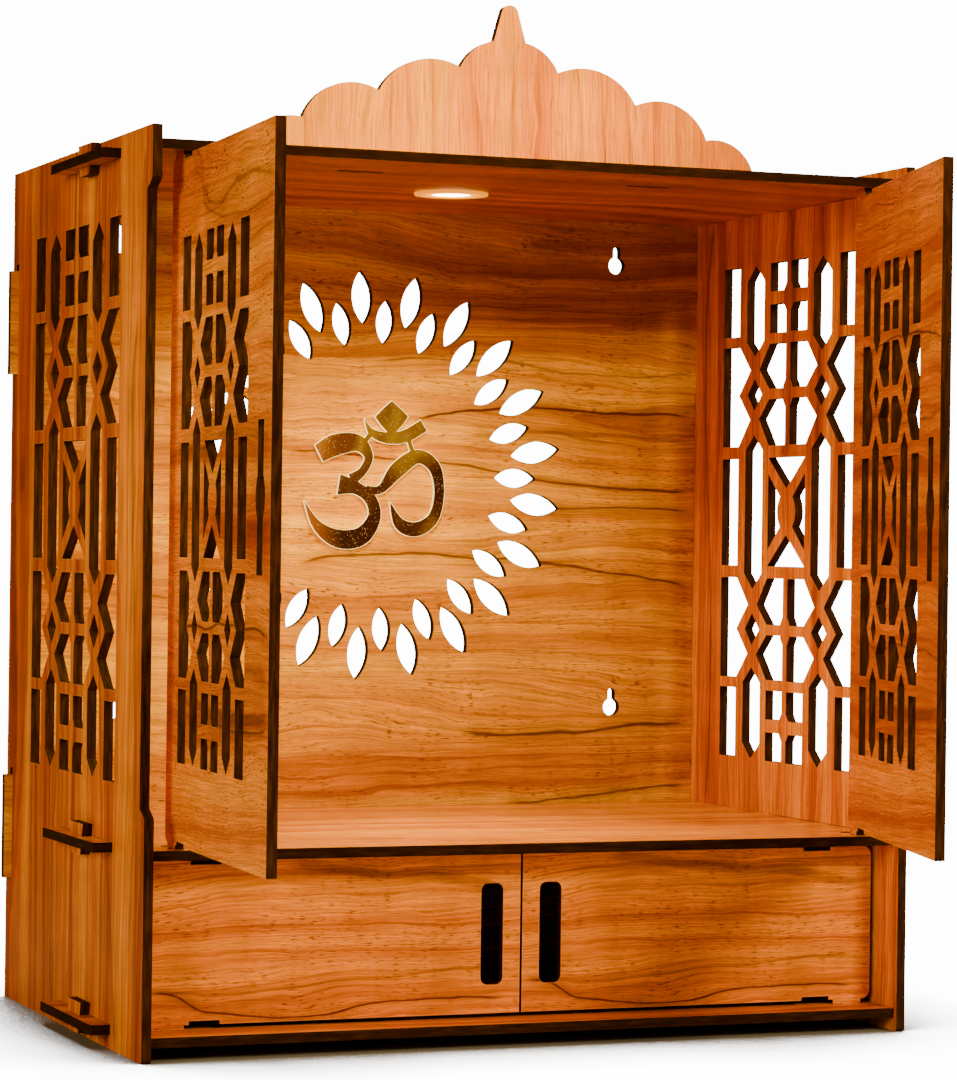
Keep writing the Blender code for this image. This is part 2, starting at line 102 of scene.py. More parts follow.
# Teak veneer under satin lacquer on thin board. The laser leaves every cut wall charred.
# Lengths are in millimetres of real wood: along, across and, where given, through the sheet.
# A shade or a span turns a pattern from low to high into values from start to end.
teak = {
    "tremble": (38, 16, 16), "trembleHeight": 1.6,      # small waves in every ring
    "ringLength": 1400, "ringDepth": 100,
    "yearLength": 1100, "yearCount": 9.0, "yearSharpness": 5.0, "yearTint": "#96501e",
    "zone": (420, 75, 100), "zoneSpan": (0.5, 0.72), "zoneTint": "#c8825a",
    "heartAndShadeTint": "#a8683c",
    "fibre": (46, 1.1, 1),      # drawn 1.1 wide, since true fibres of 0.1 would not show
    "fibreShade": (0.34, 0.66, 0.62, 1.24),
    "silk": (24, 60, 1), "silkShade": (0.3, 0.7, 0.9, 1.1),
    "pore": (5.5, 0.8, 1),      # drawn 0.8 wide, since true pores of 0.3 would not show
    "poreSpan": (0.58, 0.68, 0.0, 1.0), "porePatch": (0.42, 0.62, 0.25, 1.0), "pit": "#5a2408",
    "line": "#441404", "lineEnd": 12,
    "halo": (5, 0.4),           # reach and strength of a line's soft stain, as shares of the line's own
    "outline": 0.9,             # rim beside each cut: a painted highlight, on the back panel and crown a burnt line
    "sootGrain": (14, 14, 1.6),
    "soot": ((0.25, "#140804"), (0.5, "#2a160a"), (0.75, "#442814")),
    "sootRoughness": 0.75,
    "relief": 0.12, "bump": 0.35,
    "ior": 1.4, "specular": 0.2, "specularTint": "#ff9a00",
}

# What every board has unless its own look says otherwise
plainLook = {
    "slowWave": (260, 70),      # length along and across the grain of the slow swing of the rings
    "ringWidth": 17, "yearWidth": 34, "years": 0.5,
    # The pale rim colour paints a highlight along every cut edge
    "rim": 0.5, "rimHighlightAndBurnColour": "#f0b078", "char": 1.0,
    "heartAndShade": (), "lines": (),
}


def drawNoise(tree, place, size, detail, offset=(0, 0, 0), roughness=0.5):
    # Cloudy pattern whose patches are about as large as size
    stretched = addNode(tree, "Mapping", {}, {
        "Vector": place, "Location": offset, "Scale": [1 / length for length in size]})
    return addNode(tree, "TexNoise", {}, {
        "Vector": stretched, "Scale": 1.0, "Detail": detail, "Roughness": roughness}).outputs["Fac"]


def layGrain(tree, look, wood):
    # Distances across the grain, first with a small tremble, then with the slow swing too
    seed, sway, tremble = look["seed"], look["sway"], teak["trembleHeight"]
    long, wide = look["slowWave"]
    part = addNode(tree, "SeparateXYZ", {}, {"Vector": wood})
    slow = drawNoise(tree, wood, (long, wide, wide), 1.0, (seed, seed * 2, 0))
    fine = drawNoise(tree, wood, teak["tremble"], 2.0, (seed, 0, 0))
    swing = addNode(tree, "MapRange", {}, {"Value": slow, **span(0.25, 0.75, -sway, sway)})
    small = addNode(tree, "MapRange", {}, {"Value": fine, **span(0.25, 0.75, -tremble, tremble)})
    height = addNode(tree, "Math", {"operation": "ADD"}, {0: part.outputs["Y"], 1: small})
    ringHeight = addNode(tree, "Math", {"operation": "ADD"}, {0: height, 1: swing})
    ringPlace = addNode(tree, "CombineXYZ", {}, {
        "X": part.outputs["X"], "Y": ringHeight, "Z": seed * 50})
    return {"wood": wood, "along": part.outputs["X"], "fine": fine, "height": height,
            "ringHeight": ringHeight, "ringPlace": ringPlace}


def colourRings(tree, look, grain):
    ringPlace, depth = grain["ringPlace"], teak["ringDepth"]
    size = (teak["ringLength"], look["ringWidth"], depth)
    rings = drawNoise(tree, ringPlace, size, 3.0, roughness=0.6)
    colour = fillStops(addNode(tree, "ValToRGB", {}, {"Fac": rings}), look["rings"])

    # Year rings: each darkens slowly, then breaks off sharply
    year = drawNoise(tree, ringPlace, (teak["yearLength"], look["yearWidth"], depth), 0.0)
    year = addNode(tree, "Math", {"operation": "MULTIPLY"}, {0: year, 1: teak["yearCount"]})
    year = addNode(tree, "Math", {"operation": "FRACT"}, {0: year})
    year = addNode(tree, "Math", {"operation": "POWER"}, {0: year, 1: teak["yearSharpness"]})
    year = addNode(tree, "Math", {"operation": "MULTIPLY"}, {0: year, 1: look["years"]})
    colour = addNode(tree, "MixRGB", tinting, {
        "Fac": year, "Color1": colour, "Color2": linear(teak["yearTint"])})

    # Broad darker and redder zones, then a band darker towards one sheet edge, painted shade on the top
    # board, partly on the back
    zone = drawNoise(tree, ringPlace, teak["zone"], 1.0, (look["seed"] * 3, 0, 0))
    zone = addNode(tree, "MapRange", smoothly, {
        "Value": zone, **span(*teak["zoneSpan"], 0.0, look["zones"])})
    colour = addNode(tree, "MixRGB", tinting, {
        "Fac": zone, "Color1": colour, "Color2": linear(teak["zoneTint"])})
    for start, end, strength in look["heartAndShade"]:
        heartAndShade = addNode(tree, "MapRange", smoothly, {
            "Value": grain["ringHeight"], **span(start, end, 0.0, strength)})
        colour = addNode(tree, "MixRGB", tinting, {
            "Fac": heartAndShade, "Color1": colour, "Color2": linear(teak["heartAndShadeTint"])})
    return colour


def addFibres(tree, look, grain, colour):
    seed, ringPlace = look["seed"], grain["ringPlace"]

    # Fibres run lighter and darker along the grain, a silky figure runs across it
    fibre = drawNoise(tree, ringPlace, teak["fibre"], 3.0, roughness=0.65)
    silk = drawNoise(tree, grain["wood"], teak["silk"], 2.0, (seed, seed, 0))
    for pattern, shade in ((fibre, teak["fibreShade"]), (silk, teak["silkShade"])):
        shade = addNode(tree, "MapRange", {}, {"Value": pattern, **span(*shade)})
        colour = addNode(tree, "VectorMath", {"operation": "SCALE"}, {0: colour, 3: shade})

    # Open pores: short dark dashes, in patches
    pore = drawNoise(tree, ringPlace, teak["pore"], 1.0)
    pore = addNode(tree, "MapRange", {}, {"Value": pore, **span(*teak["poreSpan"])})
    patch = addNode(tree, "MapRange", {}, {"Value": grain["fine"], **span(*teak["porePatch"])})
    pore = addNode(tree, "Math", {"operation": "MULTIPLY"}, {0: pore, 1: patch})
    ink = addNode(tree, "Math", {"operation": "MULTIPLY"}, {0: pore, 1: look["pores"]})
    colour = addNode(tree, "MixRGB", {}, {"Fac": ink, "Color1": colour, "Color2": linear(teak["pit"])})
    return colour, fibre, pore


def drawLine(tree, grain, colour, halfWidth, strength, points):
    # Dark growth line: its height follows a smooth curve through the points, then ink fades with
    # the distance from it, under a wider faint stain, and runs out at both ends
    start, end = points[0][0], points[-1][0]
    heights = [point[1] for point in points]
    low, high = min(heights) - 1, max(heights) + 1
    share = addNode(tree, "MapRange", {}, {"Value": grain["along"], **span(start, end, 0.0, 1.0)})
    path = addNode(tree, "FloatCurve", {}, {"Value": share})
    bendCurve(path.node, [((x - start) / (end - start), (y - low) / (high - low)) for x, y in points])
    middle = addNode(tree, "MapRange", {}, {"Value": path, **span(0.0, 1.0, low, high)})
    away = addNode(tree, "Math", {"operation": "SUBTRACT"}, {0: grain["height"], 1: middle})
    away = addNode(tree, "Math", {"operation": "ABSOLUTE"}, {0: away})
    ink = addNode(tree, "MapRange", smoothly, {
        "Value": away, **span(halfWidth * 0.3, halfWidth, strength, 0.0)})
    reach, faint = teak["halo"]
    halo = addNode(tree, "MapRange", {}, {
        "Value": away, **span(0.0, halfWidth * reach, strength * faint, 0.0)})
    ink = addNode(tree, "Math", {"operation": "MAXIMUM"}, {0: ink, 1: halo})
    runOut = teak["lineEnd"]
    for fade in (span(start, start + runOut, 0.0, 1.0), span(end - runOut, end, 1.0, 0.0)):
        fade = addNode(tree, "MapRange", {}, {"Value": grain["along"], **fade})
        ink = addNode(tree, "Math", {"operation": "MULTIPLY"}, {0: ink, 1: fade})
    return addNode(tree, "MixRGB", {}, {"Fac": ink, "Color1": colour, "Color2": linear(teak["line"])})


def findRim(tree, width, samples, start, strength):
    # Share of the rim beside each edge: where the rounded normal leaves the true one
    solid = addNode(tree, "NewGeometry", {}, {})
    rounded = addNode(tree, "Bevel", {"samples": samples}, {"Radius": width * mm})
    turned = addNode(tree, "VectorMath", {"operation": "DOT_PRODUCT"}, {
        0: rounded, 1: solid.outputs["Normal"]})
    return addNode(tree, "MapRange", {}, {"Value": turned, **span(start, 0.99, strength, 0.0)})


def findWalls(tree, normal, through, low, high):
    # Share of the cut walls, which face away from the sheet's thickness
    facing = addNode(tree, "VectorMath", {"operation": "DOT_PRODUCT"}, {0: normal, 1: through})
    facing = addNode(tree, "Math", {"operation": "ABSOLUTE"}, {0: facing})
    return addNode(tree, "MapRange", {}, {"Value": facing, **span(low, high, 1.0, 0.0)})


def makeVeneer(name, look, along, across, origin=(0.0, 0.0, 0.0)):
    # look gives the ramp of ring colours, a seed, the rings' sway in mm, the shares of dark zones,
    # pores and rim, the roughness, and lines drawn in the wood as (half width in mm, strength,
    # points), with points as (distance along, distance across) in mm
    look = {**plainLook, **look}
    material, tree = newMaterial(name)
    along, across = Vector(along), Vector(across)
    through = along.cross(across)
    turn = Matrix((along, across, through)).transposed()
    place = addNode(tree, "TexCoord", {}, {})
    wood = addNode(tree, "Mapping", {"vector_type": "TEXTURE"}, {
        "Vector": place.outputs["Object"], "Location": origin, "Rotation": turn.to_euler(),
        "Scale": (mm, mm, mm)})
    grain = layGrain(tree, look, wood)
    colour = colourRings(tree, look, grain)
    colour, fibre, pore = addFibres(tree, look, grain, colour)
    for line in look["lines"]:
        colour = drawLine(tree, grain, colour, *line)

    # Pale rim beside the cuts as a painted highlight (a burnt line where the rim colour is dark), then
    # the charred walls themselves
    rim = findRim(tree, teak["outline"], 4, 0.8, look["rim"])
    colour = addNode(tree, "MixRGB", {}, {
        "Fac": rim, "Color1": colour, "Color2": linear(look["rimHighlightAndBurnColour"])})
    burnt = findWalls(tree, place.outputs["Normal"], through, 0.45, 0.75)
    soot = drawNoise(tree, wood, teak["sootGrain"], 4.0)
    soot = fillStops(addNode(tree, "ValToRGB", {}, {"Fac": soot}), teak["soot"])
    soot = addNode(tree, "VectorMath", {"operation": "SCALE"}, {0: soot, 3: look["char"]})
    colour = addNode(tree, "MixRGB", {}, {"Fac": burnt, "Color1": colour, "Color2": soot})

    # Lacquer is glossier between the fibres and gone where the board is burnt
    gloss = addNode(tree, "MapRange", {}, {
        "Value": fibre, **span(0.3, 0.7, look["gloss"] - 0.05, look["gloss"] + 0.07)})
    gloss = addNode(tree, "MixRGB", {}, {
        "Fac": burnt, "Color1": gloss, "Color2": [teak["sootRoughness"]] * 3 + [1]})
    relief = addNode(tree, "Math", {"operation": "SUBTRACT"}, {0: fibre, 1: pore})
    bump = addNode(tree, "Bump", {}, {
        "Strength": teak["bump"], "Distance": teak["relief"] * mm, "Height": relief})
    shader = addNode(tree, "BsdfPrincipled", {}, {
        "Base Color": colour, "Roughness": gloss, "Normal": bump, "IOR": teak["ior"],
        "Specular IOR Level": teak["specular"], "Specular Tint": linear(teak["specularTint"])})
    addNode(tree, "OutputMaterial", {}, {"Surface": shader})
    return material


# Ring colours from the darkest late wood to the palest early wood
blond = ((0.24, "#783600"), (0.36, "#ac6200"), (0.46, "#d08400"), (0.58, "#e49e00"), (0.74, "#f2b800"))
golden = ((0.24, "#842f00"), (0.36, "#bc5c00"), (0.46, "#e47f00"), (0.58, "#f69700"), (0.74, "#ffab00"))
honey = ((0.26, "#742800"), (0.38, "#a84b00"), (0.48, "#cc6c00"), (0.60, "#e48800"), (0.74, "#f3a008"))
# A darker copy of honey, as painted shade for the top board
shadedHoney = ((0.26, "#5c2000"), (0.38, "#8e4200"), (0.50, "#b25c00"), (0.64, "#cc7600"), (0.76, "#de8c02"))
peach = ((0.28, "#dc6000"), (0.40, "#f07c00"), (0.52, "#fc9400"), (0.66, "#ffa400"), (0.78, "#ffb400"))
amber = ((0.26, "#b05000"), (0.38, "#d06c00"), (0.50, "#e88800"), (0.64, "#f49c00"), (0.76, "#fcb000"))

# Where the wood of each board starts, in metres, and how far the lattice doors stand open
woodStart = {"sides": (0, -0.055, 0), "lowerDoorLeft": (-0.2205, 0, 0), "pivot": (0.206, -0.0379)}
doorOpened = {"left": math.radians(93.8), "right": math.radians(74.3)}


def latticeDoor(side):
    # Grain frame of an opened door: along it from the pivot to the free edge, and up
    outward = {"left": -1, "right": 1}[side]
    opened = doorOpened[side]
    x, y = woodStart["pivot"]
    return dict(along=(-outward * math.cos(opened), -math.sin(opened), 0), across=zAxis,
                origin=(outward * x, y, 0))


# Lines that both lower doors carry, as cut from one strip of veneer
sharpLine = (1.0, 0.9, [(-2, 34), (12, 33), (40, 22), (90, 19), (150, 25), (213, 24)])
softLine = (1.6, 0.5, [(0, 41), (40, 32), (100, 36), (160, 40), (213, 44)])
lowerLook = dict(seed=4.4, rings=golden, sway=7, zones=0.25, pores=0.9, gloss=0.38, ringWidth=40)


veneers = {
    "side_panel_left": dict(
        look=dict(
            seed=3.1, rings=honey, sway=9, zones=0.8, pores=0.3, gloss=0.42, ringWidth=13,
            slowWave=(420, 60),
            lines=[(3.0, 0.5, [(-5, 12), (120, 16), (250, 24), (340, 32), (400, 18)]),
                   (3.5, 0.45, [(0, 52), (60, 62), (110, 74)]),
                   (4, 0.4, [(0, 186), (60, 190), (150, 182), (260, 178)]),
                   (1.2, 0.6, [(0, 80), (50, 84), (110, 80)])]),
        along=zAxis, across=yAxis, origin=woodStart["sides"]),
    "side_panel_right": dict(
        look=dict(
            seed=8.4, rings=golden, sway=10, zones=0.6, pores=0.3, gloss=0.42, ringWidth=15,
            slowWave=(420, 60),
            lines=[(1.6, 0.7, [(110, 262), (200, 256), (300, 262), (400, 268), (490, 250)]),
                   (1.4, 0.6, [(330, 150), (380, 146), (430, 143), (490, 146)]),
                   (1.2, 0.5, [(380, 235), (430, 240), (490, 228)])]),
        along=zAxis, across=yAxis, origin=woodStart["sides"]),
    "back_panel": dict(
        look=dict(
            seed=5.2, rings=blond, sway=12, zones=0.45, pores=0.85, gloss=0.4, ringWidth=26,
            # Darker above 380 mm: partly darker veneer, partly painted shade under the top board
            slowWave=(300, 60), rim=0.7, rimHighlightAndBurnColour="#6e4422", heartAndShade=((380, 470, 0.35),),
            lines=[(1.5, 0.95, [(25, 352), (60, 362), (120, 366), (170, 364), (222, 363)]),
                   (1.3, 0.85, [(-60, 336), (0, 333), (60, 328), (130, 318), (222, 314)]),
                   (1.2, 0.8, [(100, 305), (130, 302), (180, 303), (222, 300)]),
                   (1.5, 0.85, [(-50, 258), (10, 272), (70, 270), (130, 266), (200, 256), (222, 252)]),
                   (1.8, 0.85, [(60, 160), (120, 157), (180, 162), (222, 165)]),
                   (1.4, 0.8, [(90, 112), (150, 118), (222, 124)]),
                   (2.5, 0.5, [(60, 345), (120, 350), (222, 346)]),
                   (1.0, 0.6, [(0, 392), (80, 396), (150, 388), (222, 392)]),
                   (1.0, 0.6, [(60, 430), (140, 428), (222, 434)]),
                   (1.6, 0.5, [(-222, 250), (-150, 244), (-60, 240)])]),
        along=xAxis, across=zAxis),
    "top_board": dict(
        look=dict(
            # Darker rings and a band darker towards the front paint the shade on the board's underside
            seed=1.7, rings=shadedHoney, sway=30, zones=0.7, pores=0.35, gloss=0.3, ringWidth=24,
            slowWave=(240, 160), rim=0.3, char=0.45, heartAndShade=((60, 20, 0.3),)),
        along=xAxis, across=yAxis),
    "altar_shelf": dict(
        look=dict(
            seed=6.3, rings=amber, sway=10, zones=0.2, pores=0.3, gloss=0.2, ringWidth=24,
            rim=0.3, char=0.6),
        along=xAxis, across=yAxis),
    "bottom_board": dict(
        look=dict(
            seed=9.9, rings=honey, sway=10, zones=0.4, pores=0.35, gloss=0.36, ringWidth=18,
            rim=0.3, char=0.7),
        along=xAxis, across=yAxis),
    "crown": dict(
        look=dict(
            seed=2.6, rings=peach, sway=3, zones=0.75, pores=0.25, gloss=0.45, ringWidth=36,
            slowWave=(200, 40), yearWidth=60, rim=0.6, rimHighlightAndBurnColour="#7a4a24", heartAndShade=((30, 150, 0.6),),
            lines=[(18, 0.15, [(490, 5), (530, 6), (600, 4)]),
                   (1.0, 0.35, [(490, 0), (530, 3), (590, 1)]),
                   (1.0, 0.3, [(490, 62), (530, 60), (590, 63)]),
                   (1.0, 0.3, [(490, 118), (530, 121), (590, 119)]),
                   (1.0, 0.3, [(490, -70), (530, -72), (590, -69)])]),
        along=zAxis, across=xAxis),
    "lower_door_left": dict(
        look=dict(
            lowerLook,
            lines=[sharpLine, (5, 0.45, [(80, 104), (130, 96), (170, 93), (213, 84)]), softLine]),
        along=xAxis, across=zAxis, origin=woodStart["lowerDoorLeft"]),
    "lower_door_right": dict(
        look=dict(
            lowerLook,
            lines=[sharpLine, (5, 0.5, [(50, 104), (110, 96), (160, 92), (220, 82)]), softLine]),
        along=xAxis, across=zAxis),
    "door_left": dict(
        look=dict(
            seed=7.5, rings=golden, sway=8, zones=0.85, pores=0.95, gloss=0.4, ringWidth=24, years=0.3,
            lines=[(1.3, 0.85, [(0, 236), (60, 233), (120, 236), (206, 231)]),
                   (4, 0.6, [(0, 196), (80, 192), (150, 190), (206, 198)]),
                   (1.3, 0.8, [(80, 186), (150, 184), (206, 188)]),
                   (2, 0.55, [(0, 476), (20, 486), (45, 482), (60, 462), (90, 452), (140, 462),
                              (206, 456)]),
                   (1.5, 0.5, [(30, 474), (48, 470), (62, 454), (110, 444), (206, 448)]),
                   (1.5, 0.45, [(0, 440), (40, 436), (110, 428), (206, 434)]),
                   (7, 0.5, [(120, 206), (160, 214), (206, 208)]),
                   (5, 0.45, [(0, 330), (60, 326), (120, 332), (206, 326)]),
                   (6, 0.4, [(150, 290), (180, 284), (206, 292)])]),
        **latticeDoor("left")),
    "door_right": dict(
        look=dict(
            seed=7.5, rings=honey, sway=8, zones=0.6, pores=0.9, gloss=0.42, ringWidth=24, years=0.35,
            lines=[(1.3, 0.85, [(0, 390), (60, 393), (120, 396), (206, 391)]),
                   (1.3, 0.7, [(0, 226), (60, 223), (120, 226), (206, 221)]),
                   (1.0, 0.6, [(0, 350), (60, 354), (120, 348), (206, 352)]),
                   (4, 0.5, [(0, 196), (80, 192), (150, 190), (206, 198)])]),
        **latticeDoor("right")),
}
for level in ("bottom", "middle", "top"):
    for side in ("left", "right"):
        veneers[f"wedge_{level}_{side}"] = dict(
            look=dict(
                seed=2.0 + len(level), rings=honey, sway=3, zones=0.3, pores=0.3, gloss=0.45, rim=0.3),
            along=zAxis, across=yAxis)

finishes = {}
for name, plan in veneers.items():
    finishes[name] = makeVeneer("teak veneer " + name.replace("_", " "), **plan)
    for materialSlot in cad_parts[name].material_slots:
        materialSlot.material = finishes[name]
print("veneers ready")


# Sheets cut with smooth curves, in place of the coarser solids of the same outline
def arcPoints(centre, radius, start, end, steps):
    # Centre plus radius times (cos t, sin t), t going evenly from start to end
    t = np.linspace(start, end, steps + 1)
    return np.stack([centre[0] + radius * np.cos(t), centre[1] + radius * np.sin(t)], 1)


def bowedLine(start, end, rise, steps):
    # Circle arc over the line from start to end, bowed to its left by rise, without its last point
    start, end = np.array(start, float), np.array(end, float)
    chord = end - start
    length = np.hypot(*chord)
    radius = length ** 2 / (8 * rise) + rise / 2
    outward = np.array([-chord[1], chord[0]]) / length
    centre = (start + end) / 2 - outward * (radius - rise)
    middle, half = np.arctan2(outward[1], outward[0]), np.arcsin(min(1, length / 2 / radius))
    return arcPoints(centre, radius, middle + half, middle - half, steps)[:-1]


def insideLoop(loop, points):
    # Even-odd count of the loop's edges that a ray from each point crosses
    a, b = loop, np.roll(loop, 1, 0)
    spans = (b[:, 1] > points[:, 1, None]) != (a[:, 1] > points[:, 1, None])
    rise = np.where(a[:, 1] == b[:, 1], 1, a[:, 1] - b[:, 1])
    crossing = b[:, 0] + (points[:, 1, None] - b[:, 1]) * (a[:, 0] - b[:, 0]) / rise
    return (spans & (points[:, 0, None] < crossing)).sum(1) % 2 == 1


def cutSheet(name, outlines, cutouts, thickness, place, material):
    # The outlines less the cut-outs, in mm, triangulated once and carried through the thickness
    loops = [np.asarray(loop, float) for loop in [*outlines, *cutouts]]
    flatPoints = np.concatenate(loops)
    first = np.cumsum([0] + [len(loop) for loop in loops])
    edges = [(start + i, start + (i + 1) % len(loop))
             for start, loop in zip(first, loops) for i in range(len(loop))]
    made = delaunay_2d_cdt([Vector(point) for point in flatPoints.tolist()], edges, [], 0, 1e-5)
    points = np.array([tuple(point) for point in made[0]])
    faces = np.array(made[2])
    middles = points[faces].mean(1)
    filled = np.any([insideLoop(loop, middles) for loop in loops[:len(outlines)]], 0)
    for loop in loops[len(outlines):]:
        filled &= ~insideLoop(loop, middles)
    faces = faces[filled]
    a, b, c = (points[faces[:, i]] for i in range(3))
    ab, ac = b - a, c - a
    turnsRight = ab[:, 0] * ac[:, 1] - ab[:, 1] * ac[:, 0] < 0
    faces[turnsRight] = faces[turnsRight][:, ::-1]
    sides = {(int(face[i]), int(face[(i + 1) % 3])) for face in faces for i in range(3)}
    rimEdges = np.array([side for side in sides if side[::-1] not in sides])
    rimEdges = rimEdges[np.lexsort((rimEdges[:, 1], rimEdges[:, 0]))]
    count = len(points)
    tail, head = rimEdges.T
    walls = np.stack([head, tail, tail + count, head + count], 1)
    low = np.column_stack([points, np.zeros(count)])
    high = np.column_stack([points, np.full(count, thickness)])
    corners = np.concatenate([low, high]) * mm @ np.array(place.to_3x3()).T + np.array(place.translation)
    mesh = bpy.data.meshes.new(name)
    mesh.from_pydata(
        corners.tolist(), [], (faces + count).tolist() + faces[:, ::-1].tolist() + walls.tolist())
    mesh.materials.append(material)
    sheet = bpy.data.objects.new(name, mesh)
    bpy.context.scene.collection.objects.link(sheet)
    return sheet


def facingFront(y, height):
    # Sheet drawn in x and z, its thickness towards the front from the plane y
    return Matrix(((1, 0, 0, 0), (0, 0, -1, y), (0, 1, 0, height), (0, 0, 0, 1)))


backCuts = {
    "halfWidth": 223.2, "bottom": 7.8, "top": 492.9,
    "ears": ((73.2, 135.7), (377.8, 440.3)), "earReach": 234,
    "ringHeight": 321, "leaves": 21,
    "outer": (112, 34, 13.6), "inner": (97, 28.5, 12),      # radius of the ring, leaf length and width
    "keyholeX": 166, "keyholes": (174.4, 459.6), "head": 5.6, "neck": 2.4, "neckRise": 12.2,
}


def makeBack():
    cut = backCuts
    right = [(cut["halfWidth"], cut["bottom"])]
    for low, high in cut["ears"]:
        right += [(cut["halfWidth"], low), (cut["earReach"], low),
                  (cut["earReach"], high), (cut["halfWidth"], high)]
    right.append((cut["halfWidth"], cut["top"]))
    outline = right + [(-x, y) for x, y in right[::-1]]
    holes = []
    for ring, offset in (("inner", 0), ("outer", 0.5)):
        radius, length, wide = cut[ring]
        near, far = (radius - length / 2, 0), (radius + length / 2, 0)
        leaf = np.concatenate([bowedLine(near, far, wide / 2, 16), bowedLine(far, near, wide / 2, 16)])
        for index in range(cut["leaves"]):
            t = 2 * math.pi * (index + offset) / cut["leaves"]
            turn = np.array([[math.cos(t), math.sin(t)], [-math.sin(t), math.cos(t)]])
            holes.append(leaf @ turn + (0, cut["ringHeight"]))
    join = math.acos(cut["neck"] / cut["head"])
    for x in (-cut["keyholeX"], cut["keyholeX"]):
        for height in cut["keyholes"]:
            holes.append(np.concatenate([
                arcPoints((x, height), cut["head"], join, -math.pi - join, 40),
                arcPoints((x, height + cut["neckRise"] - cut["neck"]), cut["neck"], math.pi, 0, 12)]))
    low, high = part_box("back_panel")
    panel = cutSheet("back_board", [outline], holes, (high.y - low.y) / mm,
                     facingFront(high.y, 0), finishes["back_panel"])
    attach(panel, "cabinet")
    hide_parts("back_panel")


crownCut = {
    "height": 93.5,
    "tip": (0.944, 0.056),      # centre and radius of the finial's tip, as shares of the height
    "flank": 12,                # degrees from level where the tip meets the finial's flank
    "cusps": ((0.105, 0.775), (0.323, 0.603), (0.847, 0.432), (1.332, 0.244), (1.668, 0.0)),
    "rises": (0.034, 0.112, 0.118, 0.094),      # bow of each scallop, cusps and rises as shares too
    "tab": (75, 102, 5.5),      # inner edge, outer edge and depth in mm
}


def makeCrown():
    tall = crownCut["height"]
    centre, radius = crownCut["tip"]
    flank = math.radians(crownCut["flank"])
    half = [arcPoints((0, centre * tall), radius * tall, math.pi / 2, flank, 12)]
    for start, end, rise in zip(crownCut["cusps"], crownCut["cusps"][1:], crownCut["rises"]):
        half.append(bowedLine(np.array(start) * tall, np.array(end) * tall, rise * tall, 32))
    inner, outer, deep = crownCut["tab"]
    foot = crownCut["cusps"][-1][0] * tall
    half.append([(foot, 0), (outer, 0), (outer, -deep), (inner, -deep), (inner, 0)])
    half = np.concatenate(half)
    outline = np.concatenate([half, half[:0:-1] * (-1, 1)])
    low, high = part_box("crown")
    board = cutSheet("crown_board", [outline], [], (high.y - low.y) / mm,
                     facingFront(high.y, high.z - tall * mm), finishes["crown"])
    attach(board, "cabinet")
    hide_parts("crown")


makeBack()
makeCrown()
print("back and crown cut")


# Om emblem as pen strokes, each node (x, y, stroke width) in mm from its middle
emblemStrokes = {
    "upperBowl": ((-36.5, 12.8, 12), (-25, 18.6, 14), (-11, 20, 11), (-3.4, 12, 6.5), (-7.3, 2.5, 6),
                  (-15, -3, 8)),
    "lowerBowl": ((-23.3, -6, 13.8), (-11.3, -8.2, 8.6), (-1.8, -15, 8.4), (0.8, -26.5, 9.2),
                  (-7.8, -38.2, 12), (-22.8, -40, 12), (-36.8, -32, 7), (-45.8, -16.5, 0.6)),
    "tail": ((-4.8, -9.2, 6), (5.2, -8.4, 6), (15.7, 3.5, 10.5), (29.2, 12.3, 9.3), (40.8, 5.8, 8.6),
             (44.2, -10, 7.3), (40.5, -26, 8), (29.2, -33.4, 9.6), (17.7, -30, 8), (11.1, -16.4, 0.6)),
    "crescent": ((-6.4, 35.3, 0.6), (-2.3, 27.6, 4.6), (5.2, 24.2, 7), (14.2, 23.6, 8), (23.2, 26, 8.5),
                 (33.4, 32.2, 8.5)),
    "leftBridge": ((-5.3, 22, 3.6), (-1.4, 27, 3.6)),
    "rightBridge": ((25.6, 16, 3.4), (23.2, 23, 3.4)),
}
emblemDot = {"corners": ((11.6, 47.1), (23, 37.3), (15.5, 28), (8.9, 27), (0.3, 36.6)), "bow": 0.4}
emblemScale = 94 / 93.7         # real height over the height drawn here


def penStroke(nodes, steps=10):
    # Catmull-Rom curve through the nodes, then half the stroke's width to each side of it
    nodes = np.array(nodes, float)
    padded = np.concatenate([nodes[:1], nodes, nodes[-1:]])
    a, b, c, d = (padded[i:len(padded) - 3 + i, None] for i in range(4))
    t = np.arange(steps)[None, :, None] / steps
    bend, twist = 2 * a - 5 * b + 4 * c - d, 3 * b - a - 3 * c + d
    path = (2 * b + (c - a) * t + bend * t ** 2 + twist * t ** 3) / 2
    path = np.concatenate([path.reshape(-1, 3), nodes[-1:]])
    ahead = np.gradient(path[:, :2], axis=0)
    ahead /= np.hypot(ahead[:, 0], ahead[:, 1])[:, None]
    side = np.stack([-ahead[:, 1], ahead[:, 0]], 1) * path[:, 2:] / 2
    return np.concatenate([path[:, :2] + side, (path[:, :2] - side)[::-1]])


def makeEmblem(material):
    low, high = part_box("om_emblem")
    corners, bow = emblemDot["corners"], emblemDot["bow"]
    dot = np.concatenate([bowedLine(start, end, bow, 8)
                          for start, end in zip(corners, corners[1:] + corners[:1])])
    loops = [loop * emblemScale for loop in [*map(penStroke, emblemStrokes.values()), dot]]
    sheet = cutSheet("om_board", loops, [], (high.y - low.y) / mm,
                     facingFront(high.y, backCuts["ringHeight"] * mm), material)
    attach(sheet, "cabinet")
    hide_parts("om_emblem")


